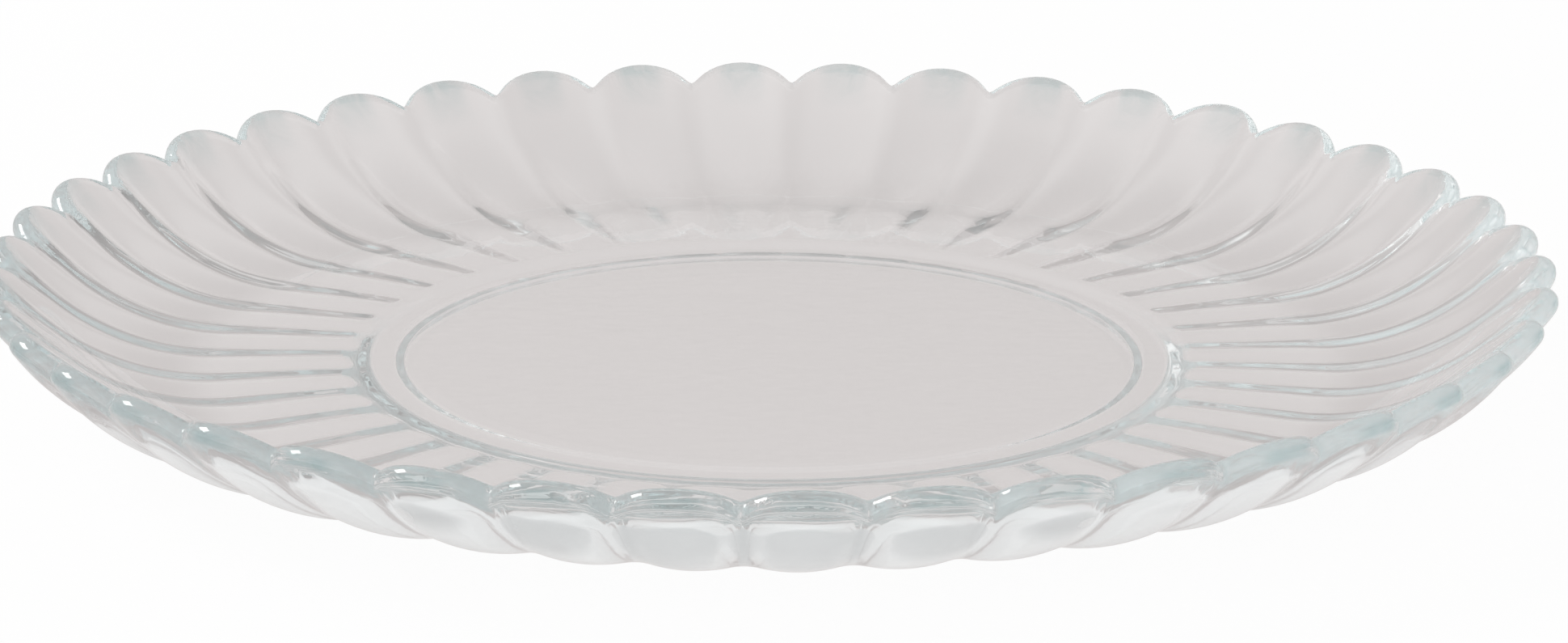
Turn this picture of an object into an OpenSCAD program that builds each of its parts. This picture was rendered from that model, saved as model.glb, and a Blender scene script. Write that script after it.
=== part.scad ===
// Scalloped dessert plate pressed from one piece of clear glass.
// Origin at the middle of the table plane, +Z up, millimetres.
// The inside is one smooth dish. Round flutes run along the underside, from the
// foot ring out to the rim, and each flute ends in a round-edged lobe of the rim.

/* [Plate] */
// Diameter over the tips of two opposite lobes
plate_d = 200; // [180:1:230]
// Number of flutes, each with its own lobe on the rim
petals = 42; // [38:2:48]

/* [Dish] */
// Thickness of the floor above the lowest line of the flutes
floor_t = 3.6; // [3.2:0.1:4.4]
// Radius of the bend between the dish floor and the wall
bend_r = 32.6; // [28:0.1:38]
// Slope of the inside of the wall at the rim, in degrees
wall_slope = 39.4; // [37:0.1:42]
// Straight part of the wall above the bend, measured along the slope
wall_straight = 10; // [8.5:0.1:11]

/* [Flutes] */
// Radius of a flute's cross-section
flute_r = 18.6; // [16:0.1:24]
// Radius of the bend that the flutes follow up the outside of the wall
flute_bend_r = 33.6; // [31:0.1:38]

/* [Rim] */
// Thickness of the glass at the tip of a lobe
rim_t = 3.1; // [2.6:0.1:3.6]
// Depth of the notches between lobes, measured along the slope
scallop_depth = 3.8; // [2.5:0.1:4.5]

/* [Foot] */
// Outer diameter of the face that stands on the table
foot_d = 102; // [90:1:112]
// Width of that face
foot_w = 3.6; // [2.5:0.1:6]
// Height of the foot ring below the flutes
foot_h = 1.2; // [0.8:0.1:2.5]
// Slope of the foot ring's outer side, from the table plane, in degrees
foot_slope = 28; // [22:1:50]
// Draft of the foot ring's inner side, from upright, in degrees
foot_draft = 20; // [8:1:35]

/* [Hidden] */

// Steps across one petal, an even number, so that a line runs along its middle
petal_steps = 6;
// Steps up the bend of the dish, round the edge of the rim and down a flute
bend_steps = 4;
edge_steps = 5;
flute_steps = 5;

// Whole petals round the rim
petal_count = round(petals);
petal_angle = 360 / petal_count;
step_angle = petal_angle / petal_steps;
columns = petal_count * petal_steps;

// Directions in a section through the axis: outwards up the wall, and square to it
slope_out = [cos(wall_slope), sin(wall_slope)];
slope_up = [-sin(wall_slope), cos(wall_slope)];

// Section of the dish, set out from the tip of a lobe inwards: [radius, height]
floor_z = foot_h + floor_t;
edge_r = rim_t / 2;
tip_r = plate_d / 2 - edge_r + edge_r * (slope_out.x + slope_up.x);
dish_r = tip_r - wall_straight * slope_out.x - bend_r * slope_out.y;
bend_mid = [dish_r, floor_z + bend_r];
tip = bend_mid - bend_r * slope_up + wall_straight * slope_out;

// Lobes: arcs that meet in a notch half a petal away from the tip
notch_r = tip_r - scallop_depth * slope_out.x;
notch_half = notch_r * sin(petal_angle / 2);
lobe_r = (notch_half ^ 2 + scallop_depth ^ 2) / (2 * scallop_depth);

// Middle of the flutes' bend, placed so that the glass is rim_t thick at the tip
edge_end = tip - edge_r * slope_out - rim_t * slope_up;
flute_mid_z = foot_h + flute_bend_r;
flute_mid_r = edge_end.x - sqrt(flute_bend_r ^ 2 - (flute_mid_z - edge_end.y) ^ 2);

foot_r = foot_d / 2;
foot_inner_r = foot_r - foot_w;
recess_r = foot_inner_r - foot_h * tan(foot_draft);

// Reach of a flute's skin from the middle of its bend, at a distance from its middle line
function flute_reach(aside) = flute_bend_r - flute_r + sqrt(flute_r ^ 2 - aside ^ 2);

// How far the outline of a lobe has dropped back from its tip
function lobe_drop(turn) = lobe_r - sqrt(lobe_r ^ 2 - (notch_r * sin(turn)) ^ 2);

// Point of the dish wall at a distance inwards from the outline of a lobe
function wall_point(turn, back) = tip - (lobe_drop(turn) + back) * slope_out;

// Thickness of the glass under that point, down to the skin of the flute
function wall_t(turn, back) =
    let (
        point = wall_point(turn, back),
        arm = [point.x * cos(turn) - flute_mid_r, point.y - flute_mid_z],
        rise = arm * slope_up,
        reach = flute_reach(point.x * sin(turn))
    )
    rise + sqrt(reach ^ 2 - arm * arm + rise ^ 2);

// Point on the skin of a flute, at an angle from its straight run
function flute_point(turn, lean) =
    let (
        first_r = flute_mid_r + flute_bend_r * sin(lean),
        near_r = flute_mid_r + flute_reach(first_r * tan(turn)) * sin(lean),
        reach = flute_reach(near_r * tan(turn))
    )
    [(flute_mid_r + reach * sin(lean)) / cos(turn), flute_mid_z - reach * cos(lean)];

// Dish: from the floor up the bend
function dish_line() = [
    for (i = [0:bend_steps])
        let (lean = wall_slope * i / bend_steps)
        bend_mid + bend_r * [sin(lean), -cos(lean)]
];

// Rounded edge of the rim, from the dish side over to the flutes
function edge_line(turn, thick) = [
    for (i = [0:edge_steps])
        let (lean = 90 - 180 * i / edge_steps)
        wall_point(turn, thick / 2) - thick / 2 * slope_up
            + thick / 2 * (cos(lean) * slope_out + sin(lean) * slope_up)
];

// Flute: from the rim down the bend to its straight run
function flute_line(turn, start) = [
    for (i = [1:flute_steps])
        flute_point(turn, start * (1 - i / flute_steps))
];

// Foot ring: where the flute runs into it, its standing face and its inner side
function foot_line(turn) =
    let (
        meet_r = foot_r + foot_h / tan(foot_slope),
        meet_z = flute_mid_z - flute_reach(meet_r * sin(turn))
    )
    [
        [foot_r + meet_z / tan(foot_slope), meet_z],
        [foot_r, 0],
        [foot_inner_r, 0],
        [recess_r, foot_h],
    ];

// Whole section of the glass at an angle from the middle of a petal
function section(turn) =
    let (
        thick = wall_t(turn, wall_t(turn, edge_r) / 2),
        edge = edge_line(turn, thick),
        last = edge[edge_steps],
        start = atan2(last.x * cos(turn) - flute_mid_r, flute_mid_z - last.y)
    )
    concat(dish_line(), edge, flute_line(turn, start), foot_line(turn));

rows = len(section(0));

// Skin: one section after another round the axis, joined in a ring of facets
module skin() {
    points = [
        for (c = [0:columns - 1])
            let (
                angle = (c - petal_steps / 2) * step_angle,
                turn = (c % petal_steps - petal_steps / 2) * step_angle
            )
            for (point = section(turn))
                [point.x * cos(angle), point.x * sin(angle), point.y]
    ];
    facets = [
        for (c = [0:columns - 1])
            let (
                here = c * rows,
                next = (c + 1) % columns * rows,
                rising = c % petal_steps < petal_steps / 2
            )
            for (r = [0:rows - 2])
                each rising
                    ? [[here + r, next + r, next + r + 1], [here + r, next + r + 1, here + r + 1]]
                    : [[here + r, next + r, here + r + 1], [next + r, next + r + 1, here + r + 1]]
    ];
    dish_floor = [for (c = [columns - 1:-1:0]) c * rows];
    recess = [for (c = [0:columns - 1]) c * rows + rows - 1];
    polyhedron(points, concat(facets, [dish_floor, recess]));
}

module plate() {
    color([0.84, 0.91, 0.9, 0.55])
    skin();
}

plate();
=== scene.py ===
# %% [markdown]
# # A scalloped dessert plate in clear pressed glass
# The plate is one piece of glass: a smooth shallow dish on top, round flutes on the underside,
# and a rim where each flute ends in a rounded lobe. Glass hides nothing, so the picture depends
# on the thickness of the wall and on the curves of both skins. We load the measured solid first,
# because the finer skin made below stands in for it and has to keep its size.

# %% Load the measured solid
import math

import bmesh
import bpy
import numpy as np
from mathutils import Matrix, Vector


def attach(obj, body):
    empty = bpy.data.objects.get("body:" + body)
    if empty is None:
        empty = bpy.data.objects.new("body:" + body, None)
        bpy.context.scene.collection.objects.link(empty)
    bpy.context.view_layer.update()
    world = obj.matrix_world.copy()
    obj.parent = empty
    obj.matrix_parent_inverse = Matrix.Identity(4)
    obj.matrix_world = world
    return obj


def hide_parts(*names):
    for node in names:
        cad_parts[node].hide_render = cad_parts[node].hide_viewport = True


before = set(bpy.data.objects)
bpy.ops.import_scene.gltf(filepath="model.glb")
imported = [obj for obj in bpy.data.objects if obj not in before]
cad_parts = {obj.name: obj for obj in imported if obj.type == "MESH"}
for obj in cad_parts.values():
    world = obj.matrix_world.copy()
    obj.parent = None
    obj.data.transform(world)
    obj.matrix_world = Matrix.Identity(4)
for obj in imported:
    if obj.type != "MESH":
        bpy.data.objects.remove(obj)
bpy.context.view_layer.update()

scene = bpy.context.scene

# %% [markdown]
# ## Shader maths that reads like maths
# A material is a graph of nodes, and wiring each Math node by hand buries the idea. One small
# class wraps a socket, so that `1 - mask * 0.4` adds the Math nodes that it needs. Every other
# node comes from one method, which sets the node's own settings first and then its sockets.

# %% A socket that can be added and multiplied
class Wire:
    def __init__(self, tree, socket=None):
        self.tree, self.socket = tree, socket

    def node(self, kind, settings=None, out=0, **sockets):
        """Add a node. Sockets go by name, with _ for a space, or by number, as in i0 and i1.

        The wire that comes back is the output named by out. An end node has none: out=None."""
        made = self.tree.nodes.new("ShaderNode" + kind)
        for name, value in (settings or {}).items():
            setattr(made, name, value)
        for name, value in sockets.items():
            key = int(name[1:]) if name[1:].isdigit() else name.replace("_", " ")
            target = made.inputs[key]
            if isinstance(value, Wire):
                self.tree.links.new(value.socket, target)
            else:
                target.default_value = value
        return Wire(self.tree, None if out is None else made.outputs[out])

    def maths(self, operation, a, b=0.0):
        return self.node("Math", {"operation": operation}, i0=a, i1=b)

    def __add__(self, other): return self.maths("ADD", self, other)
    def __radd__(self, other): return self.maths("ADD", other, self)
    def __sub__(self, other): return self.maths("SUBTRACT", self, other)
    def __rsub__(self, other): return self.maths("SUBTRACT", other, self)
    def __mul__(self, other): return self.maths("MULTIPLY", self, other)
    def __rmul__(self, other): return self.maths("MULTIPLY", other, self)


print("shader class ready")

# %% [markdown]
# ## A few words for masks and colours
# Three ideas return in the materials here: a soft step from 0 to 1, a mix of two colours, and a
# place measured from the plate's origin. Each gets a short name, so that a material reads as a
# list of decisions and not as a list of nodes.

# %% Helpers for masks and colours
def ramp(value, low, high):
    """Soft step, 0 at low and 1 at high. With low above high it falls instead of rising."""
    return value.node("MapRange", {"interpolation_type": "SMOOTHSTEP"},
                      Value=value, From_Min=low, From_Max=high)


def blend(share, first, second):
    """Colour that goes from the first to the second with the share."""
    first, second = (c if isinstance(c, Wire) else (*c, 1) for c in (first, second))
    return share.node("Mix", {"data_type": "RGBA"}, out=2, i0=share, i6=first, i7=second)


def larger(a, b):
    return a.maths("MAXIMUM", a, b)


def axis(vector, name):
    return vector.node("SeparateXYZ", out=name, Vector=vector)


def span(place):
    """Distance from the origin."""
    return place.node("VectorMath", {"operation": "LENGTH"}, out="Value", i0=place)


def new_material(name):
    material = bpy.data.materials.new(name)
    material.use_nodes = True
    material.node_tree.nodes.clear()
    return material, Wire(material.node_tree)


print("mask and colour helpers ready")

# %% [markdown]
# ## The sizes of the glass
# All sizes are in millimetres, as in the measured solid, and become metres only when the mesh is
# made. A flute is a round bar of glass that lies along the underside and bends up the wall. Two
# neighbours meet in a groove, and the fire polish that follows pressing rounds it. How much was
# tuned against the photo, with the least rounding halfway up the wall. A bevel could do that, but
# it would break up the rows of the mesh, so the curve of the flute itself is bent over near the
# groove.

# %% Sizes and the skin of one flute
PETALS = 42
TIP_R, FLOOR_Z = 98.66, 4.8
BEND_R, WALL_SLOPE, WALL_STRAIGHT = 32.6, math.radians(39.4), 10.0
FLUTE_R, FLUTE_BEND_R = 18.6, 33.6
# The notches are drawn deeper than they end up, because their rounding fills them in
RIM_T, SCALLOP_DEPTH, NOTCH_SOFT = 3.1, 4.5, 0.5
FOOT_R, FOOT_W, FOOT_H = 51.0, 3.6, 1.2
FOOT_SLOPE, FOOT_DRAFT = math.radians(28), math.radians(20)
# Half width of a groove's rounding at some distances from the axis
GROOVE_AT = [53, 64, 78, 84, 95]
GROOVE_SOFT = [2.9, 2.7, 1.8, 1.8, 2.8]

half_petal = math.pi / PETALS
slope_out = np.array([math.cos(WALL_SLOPE), math.sin(WALL_SLOPE)])
slope_up = np.array([-math.sin(WALL_SLOPE), math.cos(WALL_SLOPE)])
dish_r = TIP_R - WALL_STRAIGHT * slope_out[0] - BEND_R * slope_out[1]
bend_mid = np.array([dish_r, FLOOR_Z + BEND_R])
tip = bend_mid - BEND_R * slope_up + WALL_STRAIGHT * slope_out
notch_r = TIP_R - SCALLOP_DEPTH * slope_out[0]
notch_half = notch_r * math.sin(half_petal)
lobe_r = (notch_half ** 2 + SCALLOP_DEPTH ** 2) / (2 * SCALLOP_DEPTH)
edge_end = tip - RIM_T / 2 * slope_out - RIM_T * slope_up
flute_mid_z = FOOT_H + FLUTE_BEND_R
flute_mid_r = edge_end[0] - math.sqrt(FLUTE_BEND_R ** 2 - (flute_mid_z - edge_end[1]) ** 2)


def flute_reach(radius, turn):
    """Distance of the flute's skin from the middle of its bend, with a rounded groove."""
    soft = np.interp(radius, GROOVE_AT, GROOVE_SOFT)
    groove = radius * math.sin(half_petal)
    room = np.clip((groove - np.abs(radius * np.sin(turn))) / soft, 0, None)
    aside = np.where(room < 1, groove - soft / 2 * (1 + room ** 2), groove - soft * room)
    return FLUTE_BEND_R - FLUTE_R + np.sqrt(FLUTE_R ** 2 - aside ** 2)


print(f"dish floor radius {dish_r:.1f} mm, flute bend starts at {flute_mid_r:.1f} mm")

# %% [markdown]
# ## The edge of the rim and the run of a flute
# The rim is as round as a melted edge: at every angle it is the circle that touches the dish wall
# on one side and the flute on the other, just behind the outline of the lobe. Its size isn't
# known beforehand, because the flute is a bent bar, so a guess is corrected until it fits.

# %% Points on the wall, the rolled edge and the flute
EDGE_ROUNDS, EDGE_EASE = 12, 1.8
FLUTE_ROUNDS = 4


def wall_point(turn, back):
    """Point of the dish wall at a distance inwards from the outline of the lobe."""
    room = notch_half - np.abs(notch_r * np.sin(turn))
    across = notch_half - np.sqrt(room ** 2 + NOTCH_SOFT ** 2)
    drop = lobe_r - np.sqrt(lobe_r ** 2 - across ** 2)
    return tip - (drop + back)[:, None] * slope_out


def rolled_edge(turn):
    """Radius and middle of the edge's circle, and the angle at which it meets the flute."""
    radius = np.full(len(turn), RIM_T / 2)
    for _ in range(EDGE_ROUNDS):
        middle = wall_point(turn, radius) - radius[:, None] * slope_up
        arm = np.stack([middle[:, 0] * np.cos(turn) - flute_mid_r, middle[:, 1] - flute_mid_z], 1)
        length = np.linalg.norm(arm, axis=1)
        skin_r = middle[:, 0] + radius * arm[:, 0] / length
        radius = radius + (flute_reach(skin_r, turn) - length - radius) / EDGE_EASE
    return radius, middle, np.arctan2(arm @ slope_up, arm @ slope_out)


def flute_point(turn, lean):
    """Point on the flute's skin at an angle from its straight run."""
    radius = flute_mid_r + FLUTE_BEND_R * np.sin(lean)
    for _ in range(FLUTE_ROUNDS):
        reach = flute_reach(radius, turn)
        radius = (flute_mid_r + reach * np.sin(lean)) / np.cos(turn)
    return np.stack([radius, flute_mid_z - reach * np.cos(lean)], 1)


edge_r = rolled_edge(np.array([0.0, half_petal]))[0]
print(f"edge radius {edge_r[0]:.2f} mm at the tip of a lobe, {edge_r[1]:.2f} mm in a notch")

# %% [markdown]
# ## One section through the wall
# The skin is drawn as one line that starts near the middle of the dish, climbs the bend, turns
# over the rounded edge and comes down the flute. The same line is worked out for each of a fan of
# angles across one petal. Sweeping a line keeps the rows of the mesh along the flutes, which a
# subdivided boolean would not, and clean rows are what make refraction look like glass.

# %% The line of the skin at each angle across a petal
WELL_ROWS, BEND_ROWS, WALL_ROWS, EDGE_ROWS, FLUTE_ROWS = 3, 27, 7, 23, 40


def same(turn, radius, height):
    """One point repeated for every angle."""
    return np.tile([radius, height], (len(turn), 1)).astype(float)


def section_rows(turn):
    rows = [same(turn, r, FLOOR_Z) for r in np.linspace(0, dish_r, WELL_ROWS + 2)[1:-1]]
    for lean in np.linspace(0, WALL_SLOPE, BEND_ROWS):
        rows.append(same(turn, *(bend_mid + BEND_R * np.array([math.sin(lean), -math.cos(lean)]))))
    bend_end = rows[-1]

    radius, middle, last_lean = rolled_edge(turn)
    edge_start = wall_point(turn, radius)
    for share in np.linspace(0, 1, WALL_ROWS + 2)[1:-1]:
        rows.append(bend_end * (1 - share) + edge_start * share)
    for share in np.linspace(0, 1, EDGE_ROWS):
        lean = (math.pi / 2 * (1 - share) + last_lean * share)[:, None]
        rim_way = np.cos(lean) * slope_out + np.sin(lean) * slope_up
        rows.append(middle + radius[:, None] * rim_way)

    last = rows[-1]
    start = np.arctan2(last[:, 0] * np.cos(turn) - flute_mid_r, flute_mid_z - last[:, 1])
    for share in np.linspace(1, 0, FLUTE_ROWS + 1)[1:]:
        rows.append(flute_point(turn, start * share))
    return rows, rows[-1]


print("rows down to the end of a flute's bend:", len(section_rows(np.array([0.0]))[0]))

# %% [markdown]
# ## The foot ring
# The plate stands on a low ring whose edges show through the floor as two thin ovals. Its corners
# are round, as moulded glass never has a sharp edge, and that roundness draws the ovals. A bevel
# modifier could round them too, but its rows would no longer run on into the flutes, so the
# corners are cut here with short curves between straight runs.

# %% Rows of the foot ring with round corners
RUN_ROWS, CORNER_STEPS = 8, 4
FLUTE_OVERLAP, RECESS_RUN = 1.6, 3.0
# Where the flute meets the ring, both edges of the standing face, and the edge of the recess
CORNER_SIZES = [1.1, 0.7, 0.6, 0.6]


def soft_corners(points, sizes):
    rows = [points[0]]
    for before, corner, after, size in zip(points, points[1:], points[2:], sizes):
        a = (before - corner) / np.linalg.norm(before - corner, axis=1, keepdims=True)
        b = (after - corner) / np.linalg.norm(after - corner, axis=1, keepdims=True)
        for share in np.linspace(0, 1, CORNER_STEPS + 1):
            rows.append(corner + size * ((1 - share) ** 2 * a + share ** 2 * b))
    return rows + [points[-1]]


def foot_rows(turn, flute_end):
    rows = []
    meet_r = FOOT_R + FOOT_H / math.tan(FOOT_SLOPE)
    run = np.linspace(flute_end[:, 0].mean(), meet_r + FLUTE_OVERLAP, RUN_ROWS + 1)
    for radius in run[1:]:
        height = flute_mid_z - flute_reach(np.full(len(turn), radius), turn)
        rows.append(np.stack([np.full(len(turn), radius), height], 1))
    meet_z = flute_mid_z - flute_reach(np.full(len(turn), meet_r), turn)
    meet = np.stack([FOOT_R + meet_z / math.tan(FOOT_SLOPE), meet_z], 1)
    recess_r = FOOT_R - FOOT_W - FOOT_H * math.tan(FOOT_DRAFT)
    line = [rows.pop(), meet, same(turn, FOOT_R, 0), same(turn, FOOT_R - FOOT_W, 0),
            same(turn, recess_r, FOOT_H), same(turn, recess_r - RECESS_RUN, FOOT_H)]
    return rows + soft_corners(line, CORNER_SIZES)


print(f"foot ring {2 * FOOT_R:.0f} mm across, {FOOT_W} mm wide and {FOOT_H} mm high")

# %% [markdown]
# ## From lines to a mesh
# Sixteen lines across each petal, closer together at the grooves, are turned around the axis and
# joined into quads, and a fan of triangles closes the middle above and below. Smooth shading does
# the rest, because the lines are close enough to follow every curve.

# %% Build the plate
LINES_PER_PETAL = 16
# Share of even spacing. The rest of the spacing draws the lines towards the grooves
EVEN = 0.45
MM = 0.001

across = np.linspace(-1, 1, LINES_PER_PETAL + 1)[:-1]
turn = (EVEN * across + (1 - EVEN) * np.sin(across * math.pi / 2)) * half_petal
rows, flute_end = section_rows(turn)
rows += foot_rows(turn, flute_end)
line = np.tile(np.stack(rows, 1), (PETALS, 1, 1))
angle = (np.arange(PETALS)[:, None] * 2 * half_petal + turn).ravel()[:, None]
points = np.stack([line[..., 0] * np.cos(angle), line[..., 0] * np.sin(angle), line[..., 1]], -1)
columns, depth = points.shape[:2]
middles = [[0, 0, FLOOR_Z], [0, 0, FOOT_H]]
vertices = np.concatenate([points.reshape(-1, 3), middles]) * MM
top_middle, under_middle = columns * depth, columns * depth + 1

faces = []
for c in range(columns):
    here, there = c * depth, (c + 1) % columns * depth
    faces.append((top_middle, here, there))
    faces.extend((here + r, here + r + 1, there + r + 1, there + r) for r in range(depth - 1))
    faces.append((here + depth - 1, under_middle, there + depth - 1))
mesh = bpy.data.meshes.new("plate_skin")
mesh.from_pydata(vertices.tolist(), [], faces)
mesh.shade_smooth()
print(f"{columns} lines of {depth} points")

# %% [markdown]
# ## The plate in its place
# The new skin stands in for the plain solid and rides on the same body; its glass is made below.
# It has to be closed, because light that enters through one face must find another to leave by,
# so edges without two faces are counted. The volume is printed as well.

# %% Place the plate and measure it
plate = bpy.data.objects.new("plate_glass", mesh)
scene.collection.objects.link(plate)
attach(plate, "root")
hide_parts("plate")

check = bmesh.new()
check.from_mesh(mesh)
open_edges = sum(not edge.is_manifold for edge in check.edges)
glass_volume = check.calc_volume(signed=True)
check.free()
mesh.calc_loop_triangles()
triangles = len(mesh.loop_triangles)
print(f"{triangles} triangles, {open_edges} open edges, {glass_volume * 1e6:.1f} cm3")

# %% [markdown]
# ## Clear pressed glass
# Soda-lime glass is nearly colourless, but it takes a little red out of the light, so thick
# places look blue-grey. Volume absorption does that by the length of the path, which a tinted
# surface can't. But absorption strong enough for the blue-grey front rim of the photo coloured
# the grooves too, which are neutral there. So it is weak, and the rolled edge gets a surface tint
# of its own, off the dish and off the flutes, strongest at the crest of each lobe and uneven like
# streaks in the glass. That is paint, matched to the photo by trial. The mould also leaves a
# faint waviness, and a weak bump gives the reflections that slight wobble, a little more of it
# along the rolled edge.

# %% Glass material
GLASS_IOR = 1.52
CLEAR, EDGE_TINT = (1, 1, 1), (0.6, 0.735, 0.743)
# Where the tint begins and is full: metres from the origin, and how far the surface faces up
EDGE_OUT, OFF_DISH, OFF_FLUTE = (0.0955, 0.0975), (0.76, 0.45), (-0.5, -0.1)
# Ranges of the petal wave and of the streaks over which the tint grows
CREST, STREAKED = (-0.2, 0.85), (0.38, 0.62)
PLAIN_TINT, STREAK_TINT = 0.65, 0.45
BROAD_WAVE, FINE_WAVE, EDGE_WAVE = 0.8, 0.2, 2.2


def petal_wave(place):
    """1 along the middle line of each petal and -1 along each groove."""
    angle = place.maths("ARCTAN2", axis(place, "Y"), axis(place, "X"))
    return place.maths("COSINE", angle * PETALS)


glass, start = new_material("clear_pressed_glass")
place = start.node("TexCoord", out="Object")
facing_up = axis(start.node("NewGeometry", out="Normal"), "Z")
edge = ramp(span(place), *EDGE_OUT) * ramp(facing_up, *OFF_DISH) * ramp(facing_up, *OFF_FLUTE)

broad = start.node("TexNoise", Vector=place, Scale=38.0, Detail=1.0, Roughness=0.4)
fine = start.node("TexNoise", Vector=place, Scale=160.0, Detail=2.0, Roughness=0.5)
streaks = start.node("TexNoise", Vector=place, Scale=170.0, Detail=3.0, Roughness=0.55,
                     Distortion=1.2)
waves = broad * BROAD_WAVE + fine * FINE_WAVE + edge * streaks * EDGE_WAVE
wobble = start.node("Bump", Height=waves, Strength=0.16, Distance=0.0006)

tinted = (edge * ramp(petal_wave(place), *CREST)
          * (PLAIN_TINT + STREAK_TINT * ramp(streaks, *STREAKED)))
body = start.node("BsdfPrincipled", Base_Color=blend(tinted, CLEAR, EDGE_TINT), Roughness=0.0,
                  IOR=GLASS_IOR, Transmission_Weight=1.0, Normal=wobble)
depth_tint = start.node("VolumeAbsorption", Color=(0.2, 0.5, 0.53, 1), Density=1.15)
start.node("OutputMaterial", out=None, Surface=body, Volume=depth_tint)
mesh.materials.append(glass)
print("glass:", len(glass.node_tree.nodes), "nodes")

# %% [markdown]
# ## The table top
# The plate stands on a plain pale table. It is one flat sheet, a hair below the foot, so that the
# two faces don't flicker through each other, and wide enough that its border never shows.

# %% Floor
TABLE_HALF, TABLE_Z = 4.0, -0.00012
floor_mesh = bpy.data.meshes.new("table_top")
corners = [(-1, -1), (1, -1), (1, 1), (-1, 1)]
floor_mesh.from_pydata(
    [(x * TABLE_HALF, y * TABLE_HALF, TABLE_Z) for x, y in corners], [], [(0, 1, 2, 3)])
floor = bpy.data.objects.new("table_top", floor_mesh)
scene.collection.objects.link(floor)
print("floor:", TABLE_HALF * 2, "m wide")

# %% [markdown]
# ## What the glass shows of the table
# The photo shows the plate on plain white, while the glass itself shows a pale warm grey. Light
# Path tells the rays apart: the camera sees the table white, and rays that came through the glass
# or off it see it grey. Curved glass also gathers light on a table. That could be traced as
# caustics, which are slow and noisy, so here light and shade are painted on the table as masks
# that were matched to the photo by trial: a bright band under the front wall and a cooler grey
# near it, only for rays that bounced about in the glass, a brighter open table in front of the rim
# for the same rays, and a lighter table under the flat well of the dish. The faint streaks under
# the flutes are painted light too, lighter under the middle of each flute than under its grooves.
# They were added because the flutes hardly showed from the top. They run on past the rim, to stand
# in for the pale streak that each back petal has in the photo.

# %% Grey and painted light under the glass
# Pairs are in metres, where a mask begins and where it is full, and most count from the axis
SIDE_SPREAD = 0.3
FRONT_SIDE = (0.012, 0.05)
BAND_INNER, BAND_OUTER = (0.054, 0.060), (0.076, 0.071)
WELL_EDGE, WELL_SHRINK = (0.078, 0.070), 0.026
OPEN_TABLE, NEAR_WALL = (0.098, 0.108), (0.056, 0.072)
STREAKS_INNER, STREAKS_OUTER = (0.056, 0.068), (0.230, 0.150)
BAND_LIGHT, WELL_LIGHT, STREAK_LIGHT = 0.65, 0.28, 0.08
WARM_SHADE, COOL_SHADE = (0.68, 0.65, 0.644), (0.615, 0.635, 0.638)
WARM_SHINE, COOL_SHINE = (1, 0.972, 0.965), (0.985, 1, 1)
# A ray straight through the glass meets the table at depth 2, one that bounced in it later
BOUNCED_DEPTH = 2.5

paper, start = new_material("matt_table")
camera_ray, through_ray, glossy_ray, ray_depth = (
    start.node("LightPath", out=name)
    for name in ("Is Camera Ray", "Is Transmission Ray", "Is Glossy Ray", "Ray Depth"))
place = start.node("TexCoord", out="Object")
radius = span(place)
beside = start.maths("ABSOLUTE", axis(place, "X")) * SIDE_SPREAD
front = (ramp(beside - axis(place, "Y"), *FRONT_SIDE)
         * start.maths("GREATER_THAN", ray_depth, BOUNCED_DEPTH))
band_r = radius - beside
band = ramp(band_r, *BAND_INNER) * ramp(band_r, *BAND_OUTER) * front
# Painted light: the table under the flat well of the dish is lighter than under the wall
well = ramp(radius + front * WELL_SHRINK, *WELL_EDGE)
# Painted light: the open table just in front of the rim is bright, for rays that bounced in the
# glass
lit_open_table = ramp(radius, *OPEN_TABLE) * front
# Painted light: faint streaks, lighter under the middle of each flute than under its grooves,
# running on past the rim
flute_light_streaks = petal_wave(place) + 1.0
flute_light_streaks *= ramp(radius, *STREAKS_INNER) * ramp(radius, *STREAKS_OUTER)
level = larger(larger(band * BAND_LIGHT, well * WELL_LIGHT), lit_open_table)
level += flute_light_streaks * STREAK_LIGHT
cool = ramp(radius, *NEAR_WALL) * front
shade = blend(cool, WARM_SHADE, COOL_SHADE)
shine = blend(cool, WARM_SHINE, COOL_SHINE)
through_colour = blend(level, shade, shine)
print("table masks:", len(paper.node_tree.nodes), "nodes")

# %% [markdown]
# ## White to the camera, matt for the shadow
# A table that only glowed would lose the plate's shadow. So a small share of what the camera and
# the glass see stays an ordinary matt surface with a fine paper grain, and light that comes to
# the table in any other way meets only that matt surface.

# %% Table material
PAPER_DARK, PAPER_LIGHT = (0.88, 0.865, 0.86), (0.92, 0.905, 0.9)
WHITE = (1, 1, 1)
GLOW_TO_CAMERA, GLOW_TO_GLASS = 0.96, 0.9

grain = start.node("TexNoise", Vector=place, Scale=900.0, Detail=2.0)
matt = start.node("BsdfPrincipled", Base_Color=blend(grain, PAPER_DARK, PAPER_LIGHT), Roughness=1.0,
                  Specular_IOR_Level=0.0)
glow = start.node("Emission", Color=blend(camera_ray, through_colour, WHITE), Strength=1.0)
glass_ray = larger(through_ray, glossy_ray)
share = larger(camera_ray * GLOW_TO_CAMERA, glass_ray * GLOW_TO_GLASS)
surface = start.node("MixShader", i0=share, i1=matt, i2=glow)
start.node("OutputMaterial", out=None, Surface=surface)
floor_mesh.materials.append(paper)
print("table:", len(paper.node_tree.nodes), "nodes")

# %% [markdown]
# ## A tent of light
# Glass is lit by what it reflects and bends, not by bright lamps. A pale tent all round keeps it
# bright. Its sides aren't alike, or the glass would look flat: it is brightest at the front left,
# dimmer in the far right corner and overhead, and slightly warm at the back. Each side is a soft
# glow round one direction, added to an even level, and the amounts were tuned against the photo.

# %% Tent
TENT_LEVEL = 0.58
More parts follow.
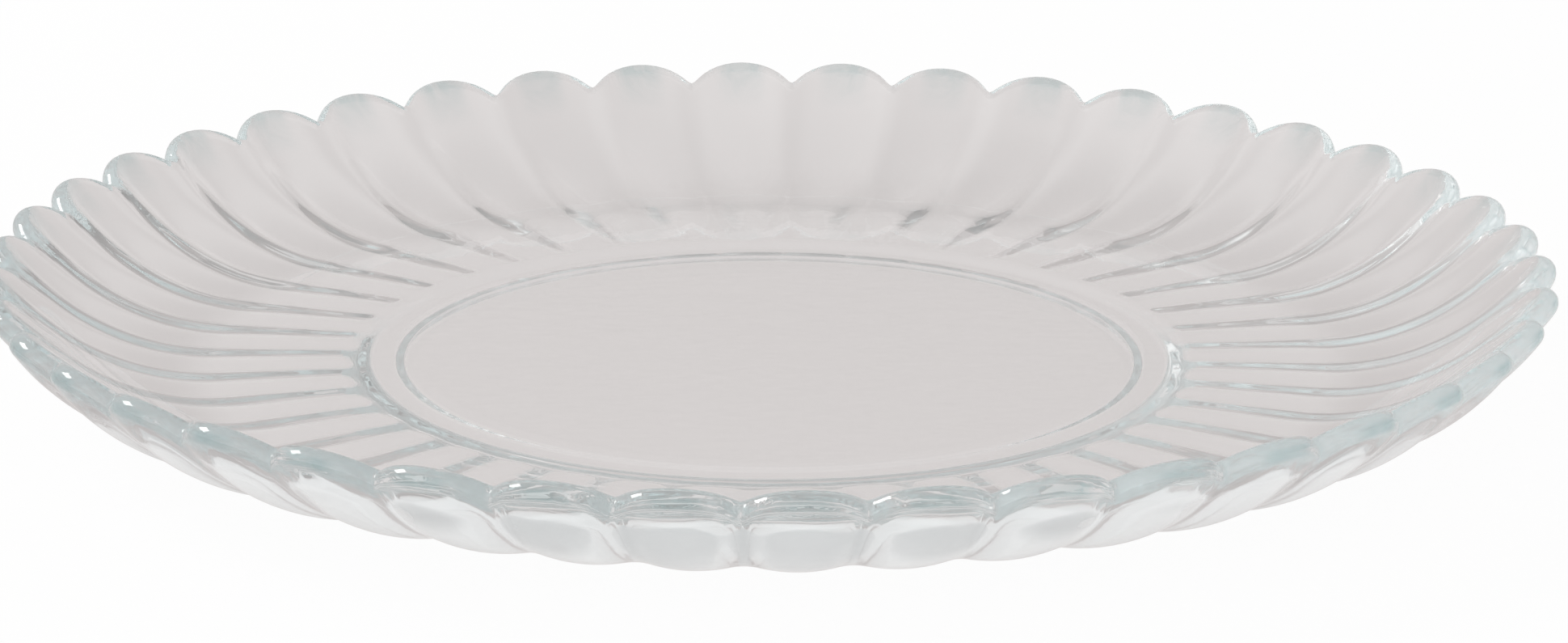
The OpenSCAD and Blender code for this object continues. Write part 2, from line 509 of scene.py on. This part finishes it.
# Direction, narrowness and amount of each side's glow
TENT_SIDES = [
    ((-0.574, -0.819, 0), 3.0, 1.2),
    ((0.82, 0.574, 0), 8.0, -0.24),
    ((0, 0, 1), 6.0, -0.26),
]
WARM_SIDE, WARM_NARROWNESS = (0, 0.97, 0.24), 4.0
NEUTRAL_LIGHT, WARM_LIGHT = (0.985, 0.985, 0.98), (1, 0.94, 0.925)

world = bpy.data.worlds.new("tent")
world.use_nodes = True
world.node_tree.nodes.clear()
start = Wire(world.node_tree)
toward = start.node("TexCoord", out="Generated")


def side_glow(direction, narrowness):
    """1 in the direction, falling to 0 on the opposite side."""
    facing = start.node("VectorMath", {"operation": "DOT_PRODUCT"}, out="Value",
                        i0=toward, i1=direction)
    return start.maths("POWER", larger(facing * 0.5 + 0.5, 0.0), narrowness)


bright = sum((side_glow(way, narrow) * amount for way, narrow, amount in TENT_SIDES), TENT_LEVEL)
warmth = blend(side_glow(WARM_SIDE, WARM_NARROWNESS), NEUTRAL_LIGHT, WARM_LIGHT)
tent_colour = start.node("VectorMath", {"operation": "SCALE"}, i0=warmth, Scale=bright)
tent_light = start.node("Background", Color=tent_colour, Strength=1.0)
start.node("OutputWorld", out=None, Surface=tent_light)
scene.world = world
print("tent:", len(TENT_SIDES), "sides,", len(world.node_tree.nodes), "nodes")

# %% [markdown]
# ## The soft box
# One soft box behind the left shoulder of the plate draws the white marks along the front edge.
# It is hidden from rays that go through the glass, which would otherwise carry its image into
# the flutes. Light takes many turns in a fluted wall, so the limit on bounces is high: a low one
# cuts rays off and leaves dark places.

# %% Soft box and render limits
BOX_PLACE, BOX_SIZE, BOX_WATTS = (-0.75, 0.273, 0.602), (0.45, 0.28), 3.6
BOX_AIM = (0, 0, 0.01)
BOUNCES = 96

lamp = bpy.data.lights.new("left_soft_box", "AREA")
lamp.shape = "RECTANGLE"
lamp.size, lamp.size_y = BOX_SIZE
lamp.energy = BOX_WATTS
soft_box = bpy.data.objects.new("left_soft_box", lamp)
soft_box.location = BOX_PLACE
soft_box.rotation_euler = (Vector(BOX_AIM) - Vector(BOX_PLACE)).to_track_quat("-Z", "Y").to_euler()
soft_box.visible_transmission = False
scene.collection.objects.link(soft_box)

scene.view_settings.view_transform = "Standard"
for limit in ("max_bounces", "glossy_bounces", "transmission_bounces"):
    setattr(scene.cycles, limit, BOUNCES)

# %% [markdown]
# ## Camera
# The place, the turn and the long lens were found by matching the outline of the rim in the
# photo, lobe by lobe.

# %% Camera
CAMERA_PLACE = (0.02305, -0.71073, 0.21919)
CAMERA_TURN = (73.486, -0.2624, 1.7827)
LENS_MM, SENSOR_MM = 133.13, 36.0
CLIP_START = 0.01

lens = bpy.data.cameras.new("camera")
lens.sensor_width = SENSOR_MM
lens.lens = LENS_MM
lens.clip_start = CLIP_START
camera = bpy.data.objects.new("camera", lens)
camera.location = CAMERA_PLACE
camera.rotation_euler = [math.radians(a) for a in CAMERA_TURN]
scene.collection.objects.link(camera)
scene.camera = camera
print("camera at", tuple(round(v, 3) for v in camera.location))
